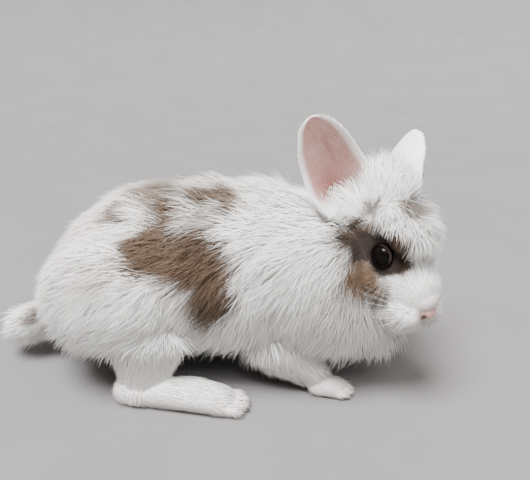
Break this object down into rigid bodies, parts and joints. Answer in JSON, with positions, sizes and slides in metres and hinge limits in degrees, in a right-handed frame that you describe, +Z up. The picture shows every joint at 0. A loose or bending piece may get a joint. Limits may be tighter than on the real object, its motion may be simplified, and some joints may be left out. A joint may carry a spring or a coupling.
{
  "type": "lionhead rabbit",
  "caption": "Life-size still model of a young long-coated lionhead-type rabbit, white with fawn-brown patches, standing low with its head turned to its right.",
  "frame": {"origin": "on the floor, under the middle of the bounding box", "axes": "+X towards the rabbit's front, +Y towards its left, +Z up"},
  "size_m": [0.251, 0.1282, 0.1498],
  "materials": {
    "coat": "long fluffy fur, matte, white with brown patches",
    "foot_fur": "short dense fur, creamy white",
    "ear": "thin pink skin inside, short white fur outside",
    "nose_skin": "soft moist pink skin",
    "eye": "wet gloss, nearly black"
  },
  "bodies": {
    "root": {"eye_left": "eye", "eye_right": "eye", "nose": "nose_skin", "head": "coat", "ear_left": "ear", "ear_right": "ear", "hind_foot_left": "foot_fur", "hind_foot_right": "foot_fur", "fore_paw_left": "foot_fur", "fore_paw_right": "foot_fur", "shank_left": "coat", "shank_right": "coat", "foreleg_left": "coat", "foreleg_right": "coat", "neck": "coat", "torso": "coat", "tail": "coat"}
  },
  "joints": []
}
